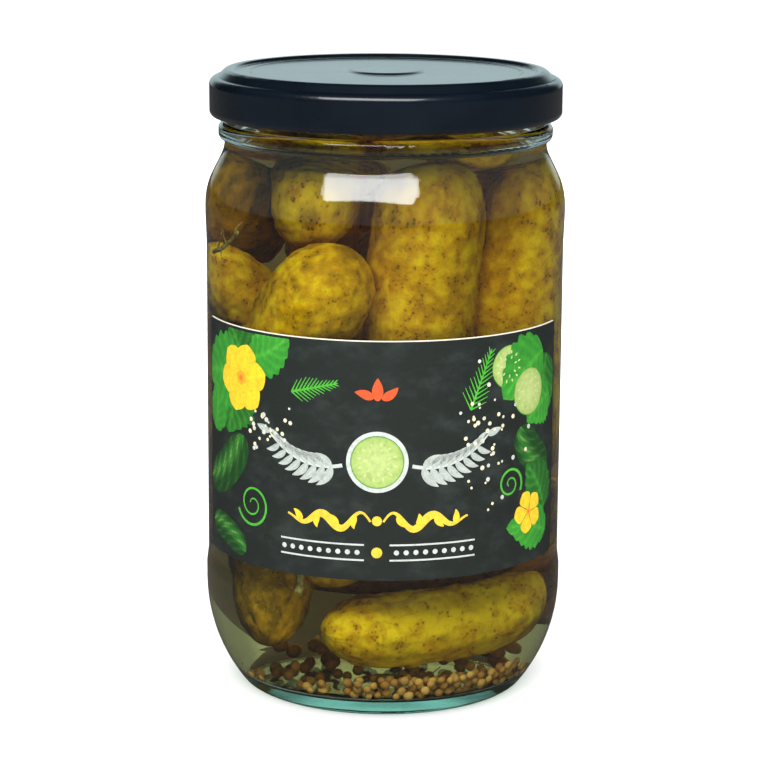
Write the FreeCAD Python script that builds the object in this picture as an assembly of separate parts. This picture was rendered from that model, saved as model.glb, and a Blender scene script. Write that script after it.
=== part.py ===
"""A glass grocery jar of pickles with a steel twist-off lid.

All sizes are millimetres. +Z is up, the origin is on the jar's axis at the
plane it stands on, and the label faces -Y. Every body of revolution is drawn
as an outline of straight runs and tangent rounds, which is turned about Z.
"""
import FreeCAD
import Part
import math
import os

# ---- Driving dimensions -------------------------------------------------

# Glass, outside
rim_height = 151.3        # standing plane to the glass rim
body_radius = 43.40       # recessed panel that carries the label
heel_band_reach = 0.45    # contact band under the label panel, out from the panel
top_band_reach = 0.26     # contact band over the label panel, out from the panel
heel_band_height = 29.5   # top of the lower contact band
heel_band_blend = 3.5     # height over which it blends into the panel
top_band_depth = 34.5     # rim down to the foot of the upper contact band
top_band_blend = 7.0      # height over which it blends into the panel
heel_inset = 9.15         # heel band in to the sharp corner between foot and heel
heel_height = 12.0        # sharp corner between heel and body
heel_round = 40.0         # round between heel and body
heel_band_round = 8.0     # rounds where the lower band meets the panel
top_band_round = 40.0     # rounds where the upper band meets the panel
foot_round = 2.7          # round between foot and heel
foot_width = 3.6          # width of the standing ring at its sharp corners
push_up = 2.6             # rise of the underside at the axis
push_up_step = 1.8        # height and width of the step inside the standing ring
push_up_round = 4.0       # round at the top of that step
ring_inner_round = 0.8    # round inside the standing ring
shoulder_rise = 9.5       # sharp shoulder corner to sharp neck corner
shoulder_round = 17.0     # round between body and shoulder
neck_round = 9.0          # hollow round between shoulder and neck

# Glass, finish and inside
neck_radius = 38.88       # outside of the finish
finish_height = 18.8      # sharp neck corner to the rim
bead_depth = 14.6         # rim down to the middle of the transfer bead
bead_reach = 1.49         # bead standing out from the finish
bead_height = 4.3         # bead at its root
bead_crown = 3.1          # bead at its sharp outer corners
bead_round = 1.45         # round on the bead
bead_root_round = 0.25    # hollow round at the bead's root
finish_wall = 2.48        # glass wall of the finish
rim_round = 1.2           # rounds on the rim
wall = 2.2                # glass wall of the body
heel_wall = 3.0           # glass wall of the heel
floor_wall = 3.4          # glass of the floor at the axis
floor_rise = 1.6          # rise of the inside floor to the axis
inner_foot_round = 6.0    # inside round between floor and heel

# Contents
fill_depth = 9.2          # rim down to the level of the brine

# Lid
sheet = 0.25              # lacquered steel sheet
lid_height = 11.35        # crest of the lid to the bottom of its curl
curl_radius = 1.47        # outside radius of the rolled edge
curl_gap = 0.68           # finish to the rolled edge
lid_shoulder_drop = 2.1   # crest down to the sharp shoulder corner
lid_shoulder_round = 1.9  # round between skirt and shoulder
ledge_width = 1.9         # flat of the shoulder at its sharp corners
ledge_rise = 0.15         # rise of that flat to the flank of the crest
ledge_round = 0.5         # hollow round between ledge and crest
crest_inset = 0.10        # bore radius out to the crest's inner corner
crest_outset = 0.40       # finish radius in to the crest's outer corner
crest_round = 2.0         # outer round of the crest
crest_inner_round = 0.6   # inner round of the crest
land_drop = 0.62          # crest down to the land inside it
land_width = 2.9          # land between crest and panel step
panel_drop = 0.22         # land down to the central panel
step_run = 0.6            # run of each small step
step_round = 0.6          # rounds of each small step
button_radius = 8.0       # safety button
button_rise = 0.45        # button over the panel
button_run = 1.4          # run of the button's slope
button_round = 2.0        # rounds of the button

# Label
label_width = 107.5       # along the glass
label_lift = 3.2          # foot of the panel to the label's lower edge
label_top_gap = 16.4      # label's upper edge to the top of the panel
label_thickness = 0.12
label_corner = 1.5        # corner round
label_turn = -1.9         # degrees about Z, middle of the label from -Y

# ---- Sizes that follow ---------------------------------------------------

heel_band_radius = body_radius + heel_band_reach
top_band_radius = body_radius + top_band_reach
foot_radius = heel_band_radius - heel_inset
bore_radius = neck_radius - finish_wall
neck_corner_height = rim_height - finish_height
shoulder_corner_height = neck_corner_height - shoulder_rise
panel_foot = heel_band_height + heel_band_blend
top_band_foot = rim_height - top_band_depth
panel_top = top_band_foot - top_band_blend
label_base = panel_foot + label_lift
label_height = panel_top - label_top_gap - label_base
fill_height = rim_height - fill_depth
crest_height = rim_height + sheet
lid_radius = neck_radius + curl_gap + 2 * curl_radius
curl_bottom = crest_height - lid_height


# ---- Outlines ------------------------------------------------------------

SIDE_SHARE = 0.99  # most of a side that its rounds may take
SAME_POINT = 1e-6  # closer than this, two points are one


def corner_tangent(before, corner, after, radius):
    """Length that a round takes from each side of a corner."""
    first = math.atan2(corner[1] - before[1], corner[0] - before[0])
    second = math.atan2(after[1] - corner[1], after[0] - corner[0])
    turn = abs((second - first + math.pi) % (2 * math.pi) - math.pi)
    return radius * math.tan(turn / 2)


def toward(start, end, length):
    """Point that lies the given length from start on the way to end."""
    share = length / math.dist(start, end)
    return (start[0] + (end[0] - start[0]) * share,
            start[1] + (end[1] - start[1]) * share)


def vector(point):
    """A half-section point (radius, height) as a vector in the XZ plane."""
    return FreeCAD.Vector(point[0], 0, point[1])


def rounded_edges(corners):
    """Edges through (radius, height, round) corners, rounds tangent to both sides.

    Two rounds that share a side too short for both are cut down alike.
    """
    points = [(c[0], c[1]) for c in corners]
    wanted = [0.0]
    for index in range(1, len(points) - 1):
        wanted.append(corner_tangent(*points[index - 1:index + 2], corners[index][2]))
    wanted.append(0.0)
    lengths = list(wanted)
    for index in range(len(points) - 1):
        taken = wanted[index] + wanted[index + 1]
        room = SIDE_SHARE * math.dist(points[index], points[index + 1])
        if taken > room:
            lengths[index] = min(lengths[index], wanted[index] * room / taken)
            lengths[index + 1] = min(lengths[index + 1], wanted[index + 1] * room / taken)
    edges = []
    here = points[0]
    for index in range(1, len(points)):
        corner = points[index]
        start = toward(corner, points[index - 1], lengths[index])
        if math.dist(here, start) > SAME_POINT:
            edges.append(Part.LineSegment(vector(here), vector(start)).toShape())
        here = start
        if lengths[index] > SAME_POINT:
            end = toward(corner, points[index + 1], lengths[index])
            middle = arc_middle(start, corner, end)
            edges.append(Part.Arc(vector(start), vector(middle), vector(end)).toShape())
            here = end
    return edges


def arc_middle(start, corner, end):
    """Middle of the arc that touches both sides of a corner at start and end."""
    half_chord = math.dist(start, end) / 2
    chord_middle = ((start[0] + end[0]) / 2, (start[1] + end[1]) / 2)
    height = math.dist(chord_middle, corner)
    half_turn = math.atan2(height, half_chord)
    rise = half_chord * math.tan(half_turn / 2)
    return toward(chord_middle, corner, rise)


def offset_corners(corners, inset):
    """Corners moved to the right of the path by inset, with their rounds following."""
    moved = []
    count = len(corners)
    for index, corner in enumerate(corners):
        before = corners[max(index - 1, 0)]
        after = corners[min(index + 1, count - 1)]
        first = unit(before, corner) if index else unit(corner, after)
        second = unit(corner, after) if index < count - 1 else first
        cross = first[0] * second[1] - first[1] * second[0]
        spread = 1 + first[0] * second[0] + first[1] * second[1]
        normal = ((first[1] + second[1]) / spread, -(first[0] + second[0]) / spread)
        grow = inset if cross > 0 else -inset
        radius = max(corner[2] + grow, 0.05) if corner[2] else 0
        moved.append((corner[0] + normal[0] * inset, corner[1] + normal[1] * inset, radius))
    return moved


def unit(start, end):
    """Direction from start to end."""
    length = math.dist(start[:2], end[:2])
    return ((end[0] - start[0]) / length, (end[1] - start[1]) / length)


def turned(edges):
    """Solid made by turning a closed half-section about Z."""
    wire = Part.Wire(Part.__sortEdges__(edges))
    face = Part.Face(wire)
    solid = face.revolve(FreeCAD.Vector(0, 0, 0), FreeCAD.Vector(0, 0, 1), 360)
    return clean(solid)


def clean(shape):
    """A single valid solid with its faces pointing out."""
    solid = shape.Solids[0]
    solid.fix(1e-5, 1e-5, 1e-3)
    if solid.Volume < 0:
        solid.reverse()
    return solid


def closed_section(edges, points):
    """The edges with straight runs added through points and back to the start."""
    extra = []
    here = edges[-1].Vertexes[-1].Point
    for point in points + [edges[0].Vertexes[0].Point]:
        if here.distanceToPoint(point) > SAME_POINT:
            extra.append(Part.LineSegment(here, point).toShape())
        here = point
    return edges + extra


# ---- Glass ---------------------------------------------------------------

def glass_outside():
    """Outside of the glass from the axis underneath to the rim."""
    ring_inner = foot_radius - foot_width
    bead_middle = rim_height - bead_depth
    return [
        (0, push_up, 0),
        (ring_inner - push_up_step, push_up_step, push_up_round),
        (ring_inner, 0, ring_inner_round),
        (foot_radius, 0, foot_round),
        (heel_band_radius, heel_height, heel_round),
        (heel_band_radius, heel_band_height, heel_band_round),
        (body_radius, panel_foot, heel_band_round),
        (body_radius, panel_top, top_band_round),
        (top_band_radius, top_band_foot, top_band_round),
        (top_band_radius, shoulder_corner_height, shoulder_round),
        (neck_radius, neck_corner_height, neck_round),
        (neck_radius, bead_middle - bead_height / 2, bead_root_round),
        (neck_radius + bead_reach, bead_middle - bead_crown / 2, bead_round),
        (neck_radius + bead_reach, bead_middle + bead_crown / 2, bead_round),
        (neck_radius, bead_middle + bead_height / 2, bead_root_round),
        (neck_radius, rim_height, rim_round),
        (bore_radius, rim_height, rim_round),
    ]


def glass_inside():
    """Inside of the glass from the bore under the rim to the axis of the floor."""
    slope = math.atan2(heel_height, heel_band_radius - foot_radius)
    side = body_radius - wall
    floor_edge = push_up + floor_wall - floor_rise
    # The inside of the heel runs parallel to the outside, one heel wall away.
    shift = heel_wall / math.sin(slope)
    floor_corner = foot_radius - shift + floor_edge / math.tan(slope)
    side_corner = (side - foot_radius + shift) * math.tan(slope)
    neck_slope = math.atan2(top_band_radius - neck_radius, shoulder_rise)
    drop = wall * math.tan(neck_slope / 2)
    rise = (side - bore_radius) / math.tan(neck_slope)
    shoulder_corner = shoulder_corner_height - drop
    return [
        (bore_radius, shoulder_corner + rise, neck_round + wall),
        (side, shoulder_corner, shoulder_round - wall),
        (side, side_corner, heel_round - heel_wall),
        (floor_corner, floor_edge, inner_foot_round),
        (0, floor_edge + floor_rise, 0),
    ]


def glass_jar():
    """The glass, hollow, with its finish, transfer bead, shoulder, heel and push-up."""
    corners = glass_outside() + glass_inside()
    return turned(closed_section(rounded_edges(corners), []))


# ---- Contents ------------------------------------------------------------

def brine():
    """The brine, face to face with the glass, up to its level."""
    corners = [(bore_radius, fill_height, 0)] + glass_inside()
    return turned(closed_section(rounded_edges(corners), [FreeCAD.Vector(0, 0, fill_height)]))


# ---- Lid -----------------------------------------------------------------

def lid_outside():
    """Outer face of the sheet from the axis to the end of the rolled edge."""
    land = crest_height - land_drop
    panel = land - panel_drop
    crest_inner = bore_radius + crest_inset
    land_outer = crest_inner - step_run
    land_inner = land_outer - land_width
    shoulder = crest_height - lid_shoulder_drop
    curl_inner = lid_radius - 2 * curl_radius
    return [
        (0, panel + button_rise, 0),
        (button_radius, panel + button_rise, button_round),
        (button_radius + button_run, panel, button_round),
        (land_inner - step_run, panel, step_round),
        (land_inner, land, step_round),
        (land_outer, land, step_round),
        (crest_inner, crest_height, crest_inner_round),
        (neck_radius - crest_outset, crest_height, crest_round),
        (lid_radius - ledge_width, shoulder + ledge_rise, ledge_round),
        (lid_radius, shoulder, lid_shoulder_round),
        (lid_radius, curl_bottom, curl_radius),
        (curl_inner, curl_bottom, curl_radius),
        (curl_inner, curl_bottom + 2 * curl_radius, curl_radius),
        (lid_radius - curl_radius, curl_bottom + 2 * curl_radius, 0),
    ]


def lid():
    """Steel lid: panel with a button, crest over the rim, skirt and rolled edge."""
    outer = lid_outside()
    inner = offset_corners(outer, sheet)
    inner[0] = (0, inner[0][1], 0)
    back = rounded_edges(list(reversed(inner)))
    front = rounded_edges(outer)
    joins = [Part.LineSegment(vector(outer[-1]), vector(inner[-1])).toShape(),
             Part.LineSegment(vector(inner[0]), vector(outer[0])).toShape()]
    return turned(front + joins + back)


# ---- Label ---------------------------------------------------------------

def label():
    """Paper label wrapped on the front of the glass, with rounded corners."""
    degrees = math.degrees(label_width / body_radius)
    low = FreeCAD.Vector(body_radius, 0, label_base)
    far = FreeCAD.Vector(body_radius + label_thickness, 0, label_base)
    up = FreeCAD.Vector(0, 0, label_height)
    section = Part.Face(Part.makePolygon([low, far, far + up, low + up, low]))
    sector = section.revolve(FreeCAD.Vector(0, 0, 0), FreeCAD.Vector(0, 0, 1), degrees)
    solid = clean(sector)
    corners = [e for e in solid.Edges if e.Length < 2 * label_thickness and is_radial(e)]
    solid = clean(solid.makeFillet(label_corner, corners))
    solid.rotate(FreeCAD.Vector(0, 0, 0), FreeCAD.Vector(0, 0, 1), -90 - degrees / 2 + label_turn)
    return solid


def is_radial(edge):
    """Whether an edge runs straight out from the jar's axis."""
    start, end = edge.Vertexes[0].Point, edge.Vertexes[-1].Point
    return abs(start.z - end.z) < SAME_POINT and edge.Curve.TypeId == "Part::GeomLine"


# ---- Sub-parts -----------------------------------------------------------

NODES = {
    "glass_jar": glass_jar,
    "brine": brine,
    "lid": lid,
    "label": label,
}


def main():
    """Build every sub-part and write it under its node's name."""
    os.makedirs("parts", exist_ok=True)
    for name, build in NODES.items():
        solid = build()
        solid.exportStep("parts/" + name + ".step")
        box = solid.BoundBox
        print(name, "valid" if solid.isValid() else "NOT VALID",
              "cm3 %.1f" % (solid.Volume / 1000),
              "z %.2f to %.2f" % (box.ZMin, box.ZMax),
              "y %.2f to %.2f" % (box.YMin, box.YMax))


main()
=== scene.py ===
"""Looks of a jar of pickles: glass, steel lid, printed label, brine and what is sunk in it.

Laid out as an add-on and run as a script. Everything is in metres in the packed frame:
+Z is up, the jar stands on the plane Z = 0 and the label faces -Y.
"""
import math
import random

import bpy
import numpy as np
from mathutils import Matrix, Vector, noise


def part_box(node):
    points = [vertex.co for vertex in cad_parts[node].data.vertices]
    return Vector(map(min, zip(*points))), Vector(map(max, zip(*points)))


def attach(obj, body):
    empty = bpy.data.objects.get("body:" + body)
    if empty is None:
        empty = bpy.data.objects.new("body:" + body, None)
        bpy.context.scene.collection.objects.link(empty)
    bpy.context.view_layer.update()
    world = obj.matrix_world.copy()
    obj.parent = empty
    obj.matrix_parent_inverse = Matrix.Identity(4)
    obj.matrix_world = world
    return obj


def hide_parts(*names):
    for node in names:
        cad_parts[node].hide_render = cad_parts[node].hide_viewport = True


bl_info = {
    "name": "Pickle jar looks",
    "version": (1, 0, 0),
    "blender": (4, 5, 0),
    "location": "3D View > Sidebar > Pickle jar",
    "description": "Builds the contents, the print and the finishes of a jar of pickles",
    "category": "Object",
}

MM = 0.001
BODY = "root"
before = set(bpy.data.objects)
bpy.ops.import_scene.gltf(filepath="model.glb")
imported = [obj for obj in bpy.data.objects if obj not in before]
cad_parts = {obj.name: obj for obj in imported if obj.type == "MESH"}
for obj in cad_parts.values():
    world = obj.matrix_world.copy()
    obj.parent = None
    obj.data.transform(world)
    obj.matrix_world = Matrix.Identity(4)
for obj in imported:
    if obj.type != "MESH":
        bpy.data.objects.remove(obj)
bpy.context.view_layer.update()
GLASS_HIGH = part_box("glass_jar")[1]
BRINE_LOW, BRINE_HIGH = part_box("brine")
LABEL_LOW, LABEL_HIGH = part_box("label")
LABEL_RADIUS = -LABEL_LOW.y


# ---- Shader helpers ----

class Value:
    """A socket that carries a number, and takes part in sums as one."""

    def __init__(self, tree, socket):
        self.tree = tree
        self.socket = socket

    def math(self, operation, *others):
        """A Math node on this value and the others."""
        sockets = dict(enumerate((self,) + others))
        return add_node(self.tree, "ShaderNodeMath", {"operation": operation}, sockets)

    def __add__(self, other):
        return self.math("ADD", other)

    __radd__ = __add__

    def __sub__(self, other):
        return self.math("SUBTRACT", other)

    def __rsub__(self, other):
        return self.math("MULTIPLY_ADD", -1.0, other)

    def __mul__(self, other):
        return self.math("MULTIPLY", other)

    __rmul__ = __mul__

    def ramp(self, start, end):
        """0 up to start, 1 from end on, and smooth between them."""
        return add_node(self.tree, "ShaderNodeMapRange", {"interpolation_type": "SMOOTHSTEP"}, {
            "Value": self, "From Min": start, "From Max": end})


def add_node(tree, kind, settings, sockets, output=0):
    """Any node: its settings first, then the values or links of its sockets.

    It gives the output that is asked for, or all of them as a list where that is None.
    """
    node = tree.nodes.new(kind)
    for name, item in settings.items():
        if name == "stops":
            set_stops(node.color_ramp, item)
        else:
            setattr(node, name, item)
    for name, item in sockets.items():
        feed(tree, node.inputs[name], item)
    if output is None:
        return [Value(tree, socket) for socket in node.outputs]
    return Value(tree, node.outputs[output]) if len(node.outputs) else node


def feed(tree, slot, item):
    """Link a Value to a socket, or set the socket to a plain number or colour."""
    if isinstance(item, Value):
        tree.links.new(item.socket, slot)
    elif slot.type == "RGBA" and len(item) == 3:
        slot.default_value = (*item, 1.0)
    else:
        slot.default_value = item


def set_stops(ramp, stops):
    """Give a colour ramp its stops, each a place and a colour."""
    while len(ramp.elements) < len(stops):
        ramp.elements.new(1.0)
    for element, (place, colour) in zip(ramp.elements, stops):
        element.position = place
        element.color = (*colour, 1.0)


class Finish:
    """A material, or the world, while its nodes are laid."""

    def __init__(self, name, kind="materials"):
        self.owner = getattr(bpy.data, kind).new(name)
        self.owner.use_nodes = True
        self.tree = self.owner.node_tree
        self.tree.nodes.clear()

    def add(self, kind, settings, sockets, output=0):
        """Any node in this tree."""
        return add_node(self.tree, kind, settings, sockets, output)

    def place(self):
        """Position in the jar's own frame, in millimetres, as one vector."""
        position = self.add("ShaderNodeTexCoord", {}, {}, "Object")
        return self.scaled(position, 1.0 / MM)

    def scaled(self, vector, factor):
        """A vector times a number or three numbers."""
        factors = factor if isinstance(factor, tuple) else (factor,) * 3
        return self.add("ShaderNodeVectorMath", {"operation": "MULTIPLY"}, {0: vector, 1: factors})

    def parts(self, vector):
        """X, Y and Z of a vector."""
        return self.add("ShaderNodeSeparateXYZ", {}, {0: vector}, None)

    def grain(self, vector, scale, detail=3.0, roughness=0.55):
        """Noise from 0 to 1."""
        return self.add("ShaderNodeTexNoise", {}, {
            "Vector": vector, "Scale": scale, "Detail": detail, "Roughness": roughness}, "Fac")

    def dots(self, vector, scale):
        """Distance from the nearest of many scattered dots."""
        return self.add("ShaderNodeTexVoronoi", {}, {"Vector": vector, "Scale": scale}, "Distance")

    def mix(self, share, first, second):
        """Colour that goes from first to second as share goes from 0 to 1."""
        return self.add("ShaderNodeMix", {"data_type": "RGBA"}, {
            0: share, 6: first, 7: second}, 2)

    def light_path(self, ray):
        """1 for rays of one kind and 0 for the rest."""
        return self.add("ShaderNodeLightPath", {}, {}, ray)

    def stored(self, name):
        """A colour that is stored on the mesh."""
        return self.add("ShaderNodeAttribute", {"attribute_name": name}, {}, "Color")

    def bump(self, height, distance, strength=1.0):
        """Normals of a relief whose height goes from 0 to 1 over the distance."""
        return self.add("ShaderNodeBump", {}, {
            "Height": height, "Distance": distance, "Strength": strength})

    def surface(self, sockets):
        """The main shader with the given sockets."""
        return self.add("ShaderNodeBsdfPrincipled", {}, sockets)

    def close(self, surface, volume=None):
        """Join shaders to the output and give the material."""
        sockets = {"Surface": surface}
        if volume is not None:
            sockets["Volume"] = volume
        self.add("ShaderNodeOutputMaterial", {}, sockets)
        return self.owner


# ---- Mesh helpers ----

def make_piece(name, points, faces, material):
    """A smooth mesh object that rides on the jar."""
    mesh = bpy.data.meshes.new(name)
    mesh.from_pydata([tuple(p) for p in points], [], [tuple(f) for f in faces])
    mesh.polygons.foreach_set("use_smooth", [True] * len(mesh.polygons))
    mesh.materials.append(material)
    mesh.validate()
    mesh.update()
    piece = bpy.data.objects.new(name, mesh)
    bpy.context.scene.collection.objects.link(piece)
    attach(piece, BODY)
    return piece


def store_colour(piece, name, channels):
    """Store one colour for each point of a mesh."""
    layer = piece.data.attributes.new(name, "FLOAT_COLOR", "POINT")
    rows = np.ones((len(piece.data.vertices), 4), np.float32)
    rows[:, :channels.shape[1]] = channels
    layer.data.foreach_set("color", rows.ravel())


def finish_node(node, material):
    """Give a node of the frame its material."""
    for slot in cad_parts[node].material_slots:
        slot.material = material


def outline(node):
    """Half-section of a turned node as (radius, height), from the foot of its axis up."""
    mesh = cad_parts[node].data
    seam = {v.index: (round(v.co.x, 6), round(v.co.z, 6)) for v in mesh.vertices
            if abs(v.co.y) < 1e-6 and v.co.x > -1e-6}
    links = {}
    for edge in mesh.edges:
        first, second = edge.vertices
        if first in seam and second in seam and seam[first] != seam[second]:
            links.setdefault(seam[first], set()).add(seam[second])
            links.setdefault(seam[second], set()).add(seam[first])
    here = min((p for p in links if p[0] < 1e-5), key=lambda p: p[1])
    walked = [here]
    while True:
        ahead = [p for p in links[here] if p not in walked]
        if not ahead:
            return walked
        here = min(ahead, key=lambda p: math.dist(p, here))
        walked.append(here)


def grid_faces(rows, columns, capped=False):
    """Quads of a grid that closes on itself along its rows.

    A capped grid also runs to two points that come after its own: its foot and its head.
    """
    faces = []
    for row in range(rows - 1):
        low, high = row * columns, (row + 1) * columns
        for k in range(columns):
            after = (k + 1) % columns
            faces.append((low + k, low + after, high + after, high + k))
    if capped:
        foot = rows * columns
        head, last = foot + 1, foot - columns
        for k in range(columns):
            after = (k + 1) % columns
            faces.append((foot, after, k))
            faces.append((last + k, last + after, head))
    return faces


def turned(points, segments):
    """Points and faces of an outline turned about Z; both its ends lie on the axis."""
    angles = [2 * math.pi * k / segments for k in range(segments)]
    rows = points[1:-1]
    corners = [(r * math.cos(a), r * math.sin(a), z) for r, z in rows for a in angles]
    corners += [(0, 0, points[0][1]), (0, 0, points[-1][1])]
    return corners, grid_faces(len(rows), segments, capped=True)


def joined(parts):
    """Points and faces of many (points, faces) parts in one."""
    points, faces = [], []
    for part_points, part_faces in parts:
        start = len(points)
        points.extend(part_points)
        faces.extend(tuple(start + i for i in face) for face in part_faces)
    return points, faces


# ---- Sizes and colours that a user would change ----

def colour_setting(name, description, default):
    """A colour."""
    return bpy.props.FloatVectorProperty(
        name=name, description=description, subtype="COLOR", size=3, default=default)


def number_setting(name, description, default, subtype="NONE"):
    """A number. A DISTANCE is in metres and an ANGLE in radians."""
    return bpy.props.FloatProperty(
        name=name, description=description, subtype=subtype, default=default)


def count_setting(name, description, default):
    """A whole number."""
    return bpy.props.IntProperty(name=name, description=description, default=default)


class GlassSizes(bpy.types.PropertyGroup):
    """Finish of the glass."""

    tint: colour_setting("Tint", "Colour that light takes on inside the glass", (0.50, 0.84, 0.74))
    depth: number_setting("Depth", "How fast the glass takes up light, for each metre", 34.0)


class BrineSizes(bpy.types.PropertyGroup):
    """The brine."""

    tint: colour_setting("Tint", "Colour that light takes on inside the brine", (0.72, 0.60, 0.02))
    depth: number_setting("Depth", "How fast the brine takes up light, for each metre", 27.0)
    reach: number_setting("Reach", "How far the brine goes into the wall, so that no gap shows",
                          0.15 * MM, "DISTANCE")
    segments: count_setting("Segments", "Sides round the axis", 160)


class PickleSizes(bpy.types.PropertyGroup):
    """The pickles."""

    ripe: colour_setting("Ripe", "Yellow side of the skin", (0.95, 0.70, 0.008))
    amber: colour_setting("Amber", "Middle of the skin", (0.66, 0.36, 0.0015))
    green: colour_setting("Green", "Olive side of the skin", (0.24, 0.145, 0.003))
    speck: colour_setting("Speck", "Dark specks of the skin", (0.12, 0.062, 0.003))
    warts: count_setting("Warts", "Bumps on one pickle", 190)


class SeedSizes(bpy.types.PropertyGroup):
    """The mustard seeds."""

    count: count_setting("Count", "Seeds in the jar", 210)
    pale: colour_setting("Pale", "Palest skin", (0.85, 0.55, 0.15))
    dark: colour_setting("Dark", "Darkest skin", (0.34, 0.16, 0.028))


class LidSizes(bpy.types.PropertyGroup):
    """Finish of the lid."""

    lacquer: colour_setting("Lacquer", "Colour of the lacquer", (0.0015, 0.004, 0.008))


class LabelSizes(bpy.types.PropertyGroup):
    """The label and its print."""

    ground: colour_setting("Ground", "Printed ground", (0.013, 0.018, 0.016))
    paper: colour_setting("Paper", "Bare paper at the edges", (0.72, 0.68, 0.58))
    turn: number_setting("Turn", "Middle of the label from the front, in degrees", -1.9)
    reach: number_setting("Reach", "Length of the label round the jar", 107.5 * MM, "DISTANCE")


class StageSizes(bpy.types.PropertyGroup):
    """The camera."""

    distance: number_setting("Distance", "Camera to the jar's axis along the floor", 650 * MM,
                             "DISTANCE")
    height: number_setting("Height", "Camera over the floor", 216.1 * MM, "DISTANCE")
    pitch: number_setting("Pitch", "Camera looking down", math.radians(12.35), "ANGLE")
    roll: number_setting("Roll", "Camera turned about its own line of sight", math.radians(0.38),
                         "ANGLE")
    lens: number_setting("Lens", "Focal length on a 36 mm frame, in millimetres", 126.5)


GROUPS = {
    "jar_glass": GlassSizes,
    "jar_brine": BrineSizes,
    "jar_pickles": PickleSizes,
    "jar_seeds": SeedSizes,
    "jar_lid": LidSizes,
    "jar_label": LabelSizes,
    "jar_stage": StageSizes,
}


# ---- Glass and brine ----

WHITE = (1.0, 1.0, 1.0)
GLASS_IOR = 1.5
BRINE_IOR = 1.34
# What is sunk in the brine has its index relative to the brine.
SKIN_IOR = 1.10
SEED_IOR = 1.12
# The edge round the brine's level is sharper than this, and is kept sharp.
BRINE_SHARP = math.radians(35)
# Where the outline of the brine is floor, by its height, and where it is wall, by its radius.
FLOOR_BAND = 20 * MM
SIDE_BAND = 30 * MM
TOUCHING = 0.01 * MM


def clear_finish(name, ior, sizes, bump=None):
    """A clear body that takes up light inside it and lets the lamps through."""
    finish = Finish(name)
    sockets = {"Base Color": WHITE, "Roughness": 0.0, "IOR": ior, "Transmission Weight": 1.0}
    if bump is not None:
        sockets["Normal"] = bump(finish)
    body = finish.surface(sockets)
    through = finish.add("ShaderNodeBsdfTransparent", {}, {"Color": WHITE})
    shadow = finish.light_path("Is Shadow Ray")
    both = finish.add("ShaderNodeMixShader", {}, {0: shadow, 1: body, 2: through})
    inside = finish.add("ShaderNodeVolumeAbsorption", {}, {
        "Color": sizes.tint, "Density": sizes.depth})
    return finish.close(both, inside)


def glass_ripple(finish):
    """Soft unevenness of moulded glass."""
    place = finish.place()
    broad = finish.grain(finish.scaled(place, (0.05, 0.05, 0.035)), 1.0, 1.0)
    return finish.bump(broad, 0.25 * MM, 0.35)


class JAR_OT_glass(bpy.types.Operator):
    """Give the glass jar its finish"""

    bl_idname = "jar.glass"
    bl_label = "Glass"

    def execute(self, context):
        sizes = context.scene.jar_glass
        finish_node("glass_jar", clear_finish("clear_glass", GLASS_IOR, sizes, glass_ripple))
        return {"FINISHED"}


def floor_height(radius):
    """Height of the inside floor of the jar at a distance from its axis."""
    low = [p for p in outline("brine") if p[1] < FLOOR_BAND]
    return float(np.interp(radius, [p[0] for p in low], [p[1] for p in low]))


def wall_radius(height):
    """Inside radius of the jar at a height."""
    side = [p for p in outline("brine") if p[0] > SIDE_BAND]
    return float(np.interp(height, [p[1] for p in side], [p[0] for p in side]))


class JAR_OT_brine(bpy.types.Operator):
    """Fill the jar with brine that reaches just into the wall, up to its last ring of corners"""

    bl_idname = "jar.brine"
    bl_label = "Brine"

    def execute(self, context):
        sizes = context.scene.jar_brine
        points = outline("brine")
        level = points[-1][1]
        grown = []
        for index, (radius, height) in enumerate(points):
            before = points[max(index - 1, 0)]
            after = points[min(index + 1, len(points) - 1)]
            along = Vector((after[0] - before[0], after[1] - before[1])).normalized()
            top = height > level - TOUCHING
            radius += sizes.reach * (1.0 if top and radius > 0 else along.y)
            height -= 0 if top else sizes.reach * along.x
            grown.append((max(radius, 0.0), height))
        grown[0] = (0.0, grown[0][1])
        # This stands in for the corner of wall and level, so the surface is a cone and not flat.
        grown[-1] = (0.0, level)
        corners, faces = turned(grown, sizes.segments)
        material = clear_finish("pickling_brine", BRINE_IOR, sizes)
        piece = make_piece("brine_fill", corners, faces, material)
        piece.data.set_sharp_from_angle(angle=BRINE_SHARP)
        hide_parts("brine")
        return {"FINISHED"}


# ---- Pickles ----

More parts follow.
